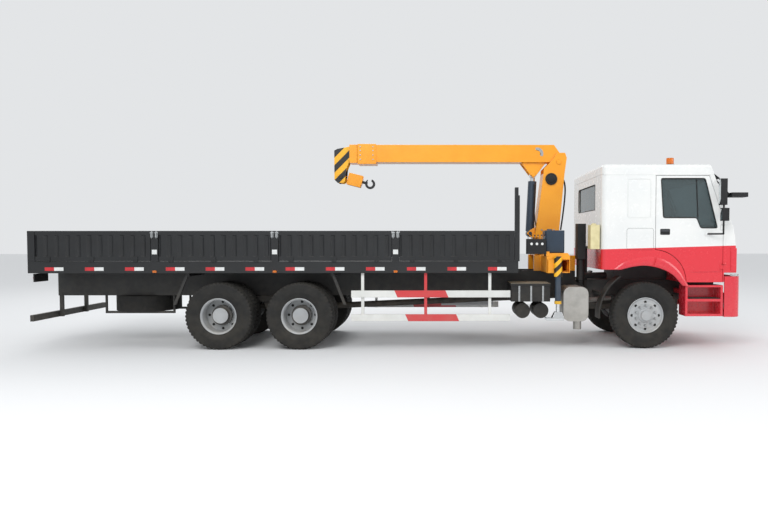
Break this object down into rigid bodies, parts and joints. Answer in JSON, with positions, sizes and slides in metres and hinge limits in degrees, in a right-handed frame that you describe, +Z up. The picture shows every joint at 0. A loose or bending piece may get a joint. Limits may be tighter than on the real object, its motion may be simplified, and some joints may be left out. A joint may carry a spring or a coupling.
{
  "type": "truck-mounted crane",
  "caption": "Cab-over truck with a drop-side bed and a telescopic boom crane with outriggers behind its tilting cab.",
  "frame": {"origin": "on the ground below the middle of the whole machine's box", "axes": "+X towards the front of the truck, +Y towards its left side, +Z up"},
  "size_m": [12.079, 2.85, 3.582],
  "materials": {
    "crane_orange": "gloss",
    "cab_white": "gloss",
    "cab_red": "gloss",
    "bed_paint": "satin",
    "chassis_paint": "satin",
    "axle_paint": "satin",
    "slate_paint": "satin",
    "guard_paint": "satin",
    "rim_paint": "satin",
    "muffler_steel": "satin",
    "tank_aluminium": "satin",
    "engine_iron": "matte",
    "black_plastic": "matte",
    "dash_plastic": "matte",
    "clouded_plastic": "satin",
    "rubber": "matte",
    "glass": "gloss",
    "seat_fabric": "matte",
    "chrome": "gloss"
  },
  "bodies": {
    "root": {"chassis_frame": "chassis_paint", "axles_and_springs": "axle_paint", "engine": "engine_iron", "intake_and_coolant_tank": "black_plastic", "front_bumper": "cab_red", "cab_steps": "cab_red", "front_mudguards": "black_plastic", "fuel_tank": "tank_aluminium", "muffler": "muffler_steel", "battery_box": "chassis_paint", "side_guards": "guard_paint", "spare_wheel": "rubber", "bed_floor": "bed_paint", "bed_posts": "bed_paint", "crane_base": "crane_orange", "hydraulic_tank": "slate_paint"},
    "cab": {"cab_shell": "cab_white", "cab_roof": "cab_white", "cab_front_panel": "cab_white", "cab_glass": "glass", "seats": "seat_fabric", "dashboard": "dash_plastic"},
    "door_right": {"door_right": "cab_white", "door_glass_right": "glass"},
    "door_left": {"door_left": "cab_white", "door_glass_left": "glass"},
    "knuckle_right": {"knuckle_right": "axle_paint"},
    "front_wheel_right": {"tyre_front_right": "rubber", "rim_front_right": "rim_paint"},
    "knuckle_left": {"knuckle_left": "axle_paint"},
    "front_wheel_left": {"tyre_front_left": "rubber", "rim_front_left": "rim_paint"},
    "middle_wheel_right": {"tyres_middle_right": "rubber", "rims_middle_right": "rim_paint"},
    "middle_wheel_left": {"tyres_middle_left": "rubber", "rims_middle_left": "rim_paint"},
    "rear_wheel_right": {"tyres_rear_right": "rubber", "rims_rear_right": "rim_paint"},
    "rear_wheel_left": {"tyres_rear_left": "rubber", "rims_rear_left": "rim_paint"},
    "column": {"column": "crane_orange"},
    "boom": {"boom": "crane_orange"},
    "boom_mid": {"boom_mid": "crane_orange"},
    "boom_tip": {"boom_tip": "crane_orange"},
    "luff_barrel": {"luff_barrel": "slate_paint"},
    "luff_rod": {"luff_rod": "chrome"},
    "hook_block": {"hook_block": "crane_orange"},
    "outrigger_right": {"outrigger_beam_right": "crane_orange"},
    "jack_right": {"jack_right": "slate_paint"},
    "outrigger_left": {"outrigger_beam_left": "crane_orange"},
    "jack_left": {"jack_left": "slate_paint"},
    "side_board_right_1": {"side_board_right_1": "bed_paint"},
    "side_board_right_2": {"side_board_right_2": "bed_paint"},
    "side_board_right_3": {"side_board_right_3": "bed_paint"},
    "side_board_right_4": {"side_board_right_4": "bed_paint"},
    "side_board_left_1": {"side_board_left_1": "bed_paint"},
    "side_board_left_2": {"side_board_left_2": "bed_paint"},
    "side_board_left_3": {"side_board_left_3": "bed_paint"},
    "side_board_left_4": {"side_board_left_4": "bed_paint"},
    "tailgate": {"tailgate": "bed_paint"}
  },
  "joints": [
    {"name": "cab_tilt", "type": "hinge", "parent": "root", "child": "cab", "pos_m": [5.8295, 0, 1.246], "axis": [0, 1, 0], "range_deg": [0, 50]},
    {"name": "door_right_hinge", "type": "hinge", "parent": "cab", "child": "door_right", "pos_m": [5.5795, -1.23, 2], "axis": [0, 0, 1], "range_deg": [0, 70]},
    {"name": "door_left_hinge", "type": "hinge", "parent": "cab", "child": "door_left", "pos_m": [5.5795, 1.23, 2], "axis": [0, 0, -1], "range_deg": [0, 70]},
    {"name": "steer_right", "type": "hinge", "parent": "root", "child": "knuckle_right", "pos_m": [4.3145, -0.87, 0.561], "axis": [0, 0, 1], "range_deg": [-35, 35]},
    {"name": "front_wheel_right_spin", "type": "hinge", "parent": "knuckle_right", "child": "front_wheel_right", "pos_m": [4.3145, -1.011, 0.561], "axis": [0, 1, 0], "continuous": true},
    {"name": "steer_left", "type": "hinge", "parent": "root", "child": "knuckle_left", "pos_m": [4.3145, 0.87, 0.561], "axis": [0, 0, 1], "range_deg": [-35, 35]},
    {"name": "front_wheel_left_spin", "type": "hinge", "parent": "knuckle_left", "child": "front_wheel_left", "pos_m": [4.3145, 1.011, 0.561], "axis": [0, 1, 0], "continuous": true},
    {"name": "middle_wheel_right_spin", "type": "hinge", "parent": "root", "child": "middle_wheel_right", "pos_m": [-1.5105, -0.915, 0.561], "axis": [0, 1, 0], "continuous": true},
    {"name": "middle_wheel_left_spin", "type": "hinge", "parent": "root", "child": "middle_wheel_left", "pos_m": [-1.5105, 0.915, 0.561], "axis": [0, 1, 0], "continuous": true},
    {"name": "rear_wheel_right_spin", "type": "hinge", "parent": "root", "child": "rear_wheel_right", "pos_m": [-2.8605, -0.915, 0.561], "axis": [0, 1, 0], "continuous": true},
    {"name": "rear_wheel_left_spin", "type": "hinge", "parent": "root", "child": "rear_wheel_left", "pos_m": [-2.8605, 0.915, 0.561], "axis": [0, 1, 0], "continuous": true},
    {"name": "slew", "type": "hinge", "parent": "root", "child": "column", "pos_m": [2.7845, 0, 1.88], "axis": [0, 0, 1], "continuous": true},
    {"name": "luff", "type": "hinge", "parent": "column", "child": "boom", "pos_m": [3.0035, 0, 3.254], "axis": [0, 1, 0], "range_deg": [0, 78]},
    {"name": "luff_barrel_pivot", "type": "hinge", "parent": "column", "child": "luff_barrel", "pos_m": [2.5005, 0, 1.957], "axis": [0, 1, 0], "range_deg": [0, 3.85]},
    {"name": "luff_rod_slide", "type": "slide", "parent": "luff_barrel", "child": "luff_rod", "axis": [0.0481, 0, 0.9988], "range_m": [0, 0.6244]},
    {"name": "boom_mid_slide", "type": "slide", "parent": "boom", "child": "boom_mid", "axis": [-1, 0, 0], "range_m": [0, 2.6]},
    {"name": "boom_tip_slide", "type": "slide", "parent": "boom_mid", "child": "boom_tip", "axis": [-1, 0, 0], "range_m": [0, 2.6]},
    {"name": "hook_swing", "type": "hinge", "parent": "boom_tip", "child": "hook_block", "pos_m": [-0.9755, 0, 3], "axis": [0, -1, 0], "range_deg": [-76, 0]},
    {"name": "outrigger_right_slide", "type": "slide", "parent": "root", "child": "outrigger_right", "axis": [0, -1, 0], "range_m": [0, 1.5]},
    {"name": "jack_right_slide", "type": "slide", "parent": "outrigger_right", "child": "jack_right", "axis": [0, 0, -1], "range_m": [0, 0.485]},
    {"name": "outrigger_left_slide", "type": "slide", "parent": "root", "child": "outrigger_left", "axis": [0, 1, 0], "range_m": [0, 1.5]},
    {"name": "jack_left_slide", "type": "slide", "parent": "outrigger_left", "child": "jack_left", "axis": [0, 0, -1], "range_m": [0, 0.485]},
    {"name": "side_board_right_1_hinge", "type": "hinge", "parent": "root", "child": "side_board_right_1", "pos_m": [-1.6855, -1.24, 1.48], "axis": [1, 0, 0], "range_deg": [0, 175]},
    {"name": "side_board_right_2_hinge", "type": "hinge", "parent": "root", "child": "side_board_right_2", "pos_m": [-1.6855, -1.24, 1.48], "axis": [1, 0, 0], "range_deg": [0, 175]},
    {"name": "side_board_right_3_hinge", "type": "hinge", "parent": "root", "child": "side_board_right_3", "pos_m": [-1.6855, -1.24, 1.48], "axis": [1, 0, 0], "range_deg": [0, 175]},
    {"name": "side_board_right_4_hinge", "type": "hinge", "parent": "root", "child": "side_board_right_4", "pos_m": [-1.6855, -1.24, 1.48], "axis": [1, 0, 0], "range_deg": [0, 175]},
    {"name": "side_board_left_1_hinge", "type": "hinge", "parent": "root", "child": "side_board_left_1", "pos_m": [-1.6855, 1.24, 1.48], "axis": [-1, 0, 0], "range_deg": [0, 175]},
    {"name": "side_board_left_2_hinge", "type": "hinge", "parent": "root", "child": "side_board_left_2", "pos_m": [-1.6855, 1.24, 1.48], "axis": [-1, 0, 0], "range_deg": [0, 175]},
    {"name": "side_board_left_3_hinge", "type": "hinge", "parent": "root", "child": "side_board_left_3", "pos_m": [-1.6855, 1.24, 1.48], "axis": [-1, 0, 0], "range_deg": [0, 175]},
    {"name": "side_board_left_4_hinge", "type": "hinge", "parent": "root", "child": "side_board_left_4", "pos_m": [-1.6855, 1.24, 1.48], "axis": [-1, 0, 0], "range_deg": [0, 175]},
    {"name": "tailgate_hinge", "type": "hinge", "parent": "root", "child": "tailgate", "pos_m": [-6.0305, 0, 1.48], "axis": [0, -1, 0], "range_deg": [0, 175]}
  ],
  "couplings": [
    {"joint": "steer_left", "follows": "steer_right", "ratio": 1},
    {"joint": "luff_barrel_pivot", "follows": "luff", "ratio": 0.049298},
    {"joint": "luff_rod_slide", "follows": "luff", "m_per_rad": 0.45827},
    {"joint": "boom_tip_slide", "follows": "boom_mid_slide", "ratio": 1}
  ]
}
